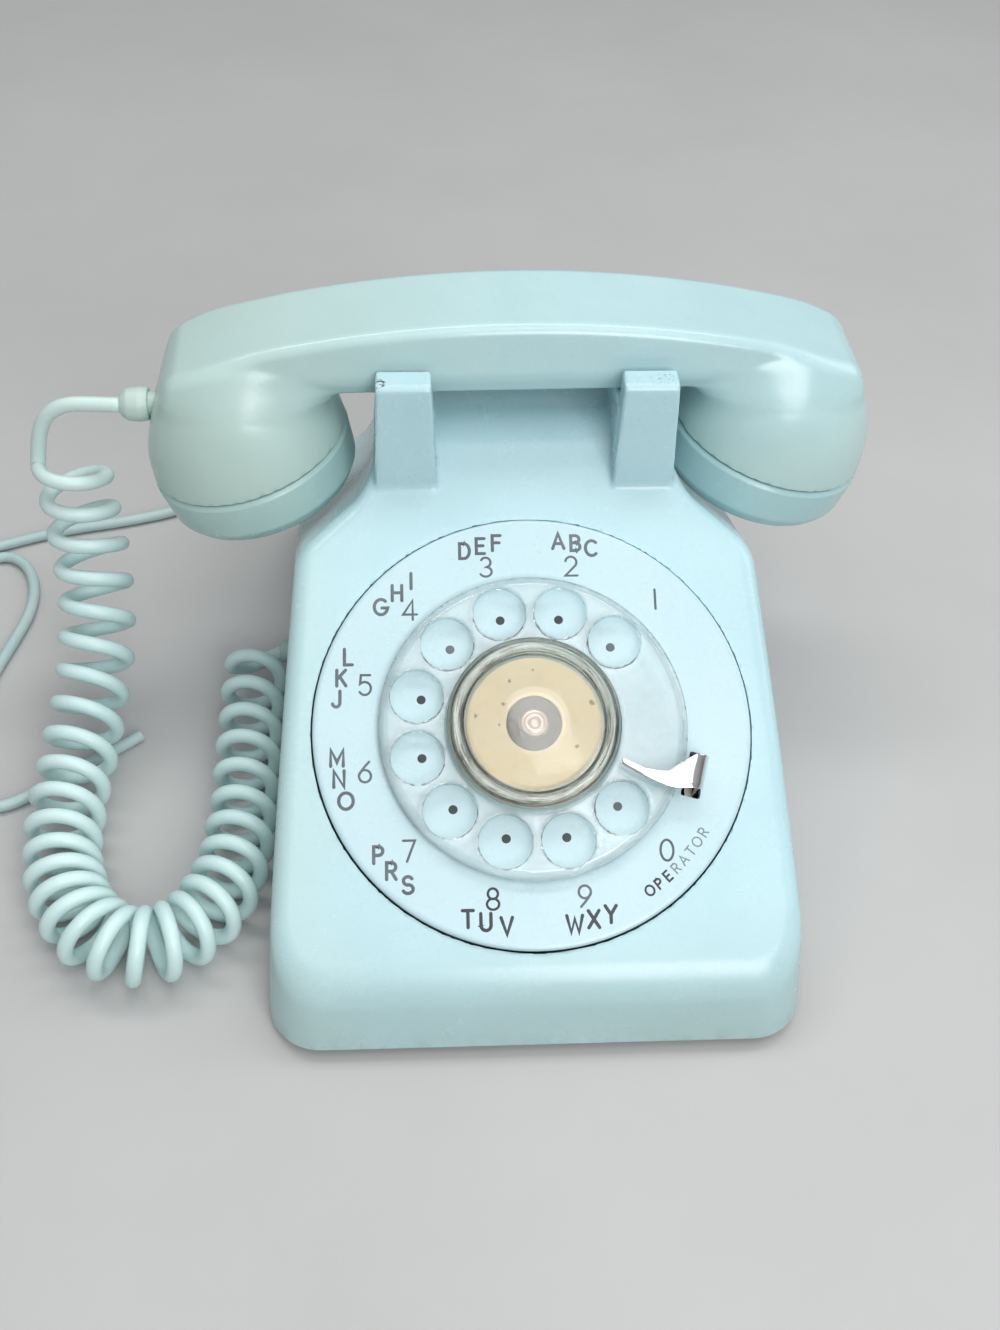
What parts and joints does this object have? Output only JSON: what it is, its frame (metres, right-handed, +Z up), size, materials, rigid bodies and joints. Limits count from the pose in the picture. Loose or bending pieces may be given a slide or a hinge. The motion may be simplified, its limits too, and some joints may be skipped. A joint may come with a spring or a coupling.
{
  "type": "rotary desk telephone",
  "caption": "Full-size rotary desk telephone: sloping housing with a clear finger wheel, handset in a pronged cradle, hookswitch, bell ringer, curly handset cord and line cord.",
  "frame": {"origin": "on the surface the set stands on, under the middle of the object's box without its cords", "axes": "+Z up, +X to the user's right, the dial and the user are towards -Y, the handset lies along X"},
  "size_m": [0.3319, 0.2572, 0.1315],
  "materials": {
    "housing_plastic": "moulded aqua blue plastic, glossy with fine wear",
    "dial_plate_plastic": "moulded aqua blue plastic with dark figures",
    "handset_plastic": "moulded aqua plastic, slightly yellowed",
    "cord_jacket": "soft aqua cord jacket",
    "cord_boot": "soft moulded boot",
    "clear_plastic": "clear acrylic",
    "card_paper": "yellowed blank card",
    "chrome": "polished",
    "plated_steel": "zinc-plated sheet",
    "screw_steel": "plated",
    "spring_steel": "bright wire",
    "brass": "machined",
    "contact_nickel": "nickel silver leaf",
    "dark_moulding": "black moulding",
    "plunger_plastic": "pale moulded plastic",
    "coil_tape": "taped winding",
    "capsule_metal": "pressed can",
    "foot_rubber": "dull brown rubber",
    "tie_plastic": "soft strap"
  },
  "bodies": {
    "base": {"housing": "housing_plastic", "baseplate": "plated_steel", "rubber_feet": "foot_rubber", "housing_screws": "screw_steel", "network_block": "dark_moulding", "network_terminal_screws": "screw_steel", "ringer_frame": "plated_steel", "ringer_coil": "coil_tape", "bell_gong_left": "brass", "bell_gong_right": "brass", "gong_screws": "screw_steel", "volume_wheel_brackets": "plated_steel", "hookswitch_bracket": "plated_steel", "hook_pivot_pin": "screw_steel", "hook_return_spring": "spring_steel", "hook_contact_springs": "contact_nickel", "dial_number_plate": "dial_plate_plastic", "dial_frame": "plated_steel", "dial_rear_bridge": "brass", "governor_cup": "brass", "dial_main_spring": "spring_steel", "pulse_contact_springs": "contact_nickel", "finger_stop": "chrome", "dial_mount_brackets": "plated_steel", "dial_mount_screws": "screw_steel", "handset_cord_curl": "cord_jacket", "handset_cord_base_tail": "cord_jacket", "line_cord_lead": "cord_jacket", "line_cord_tail": "cord_jacket", "line_cord_coil": "cord_jacket", "cord_tie": "tie_plastic", "base_cord_grommet": "cord_boot", "line_cord_strain_relief": "cord_boot"},
    "finger_wheel": {"finger_wheel": "clear_plastic", "number_card": "card_paper", "card_retainer": "clear_plastic", "dial_hub_screw": "screw_steel", "dial_shaft": "brass", "dial_main_gear": "brass"},
    "intermediate": {"intermediate_shaft": "brass", "intermediate_gear": "brass", "pulse_cam": "dark_moulding"},
    "governor": {"governor_shaft": "brass", "governor_weights": "brass"},
    "hook_lever": {"hook_lever": "plated_steel"},
    "plunger_left": {"plunger_left": "plunger_plastic"},
    "plunger_right": {"plunger_right": "plunger_plastic"},
    "clapper": {"clapper": "spring_steel"},
    "volume_wheel": {"ringer_volume_wheel": "dark_moulding"},
    "handset": {"handset_shell": "handset_plastic", "transmitter_cap": "handset_plastic", "receiver_cap": "handset_plastic", "transmitter_cup": "dark_moulding", "transmitter_capsule": "capsule_metal", "receiver_capsule": "capsule_metal", "handset_cord_boot": "cord_boot", "handset_cord_handset_tail": "cord_jacket"}
  },
  "joints": [
    {"name": "handset_lift", "type": "slide", "parent": "base", "child": "handset", "axis": [0, 0, 1], "range_m": [0, 0.09], "deforming": ["handset_cord_curl"]},
    {"name": "plunger_left_rise", "type": "slide", "parent": "base", "child": "plunger_left", "axis": [0, 0, 1], "range_m": [0, 0.005]},
    {"name": "plunger_right_rise", "type": "slide", "parent": "base", "child": "plunger_right", "axis": [0, 0, 1], "range_m": [0, 0.005]},
    {"name": "hook_lever_swing", "type": "hinge", "parent": "base", "child": "hook_lever", "pos_m": [0, 0.058, 0.07], "axis": [-1, 0, 0], "range_deg": [0, 10.9], "deforming": ["hook_return_spring"]},
    {"name": "finger_wheel_turn", "type": "hinge", "parent": "base", "child": "finger_wheel", "pos_m": [0, -0.0507, 0.0564], "axis": [0, -0.5105, 0.8599], "range_deg": [-330, 0], "stiffness_Nm_per_rad": 0.02, "springref_deg": 51.57},
    {"name": "intermediate_turn", "type": "hinge", "parent": "base", "child": "intermediate", "pos_m": [-0.01591, -0.05672, 0.03538], "axis": [0, -0.5105, 0.8599], "range_deg": [0, 1320]},
    {"name": "governor_turn", "type": "hinge", "parent": "base", "child": "governor", "pos_m": [-0.02331, -0.04295, 0.03774], "axis": [0, -0.5105, 0.8599], "range_deg": [-5280, 0]},
    {"name": "clapper_swing", "type": "hinge", "parent": "base", "child": "clapper", "pos_m": [0, 0.03, 0.02], "axis": [0, 0, 1], "range_deg": [-8.5, 8.5]},
    {"name": "volume_turn", "type": "hinge", "parent": "base", "child": "volume_wheel", "pos_m": [0.052, -0.02, 0.013], "axis": [1, 0, 0], "range_deg": [-60, 60]}
  ],
  "couplings": [
    {"joint": "plunger_left_rise", "follows": "handset_lift", "ratio": 0.0555},
    {"joint": "plunger_right_rise", "follows": "handset_lift", "ratio": 0.0555},
    {"joint": "hook_lever_swing", "follows": "handset_lift", "rad_per_m": 2.11},
    {"joint": "intermediate_turn", "follows": "finger_wheel_turn", "ratio": -4},
    {"joint": "governor_turn", "follows": "finger_wheel_turn", "ratio": 16}
  ]
}
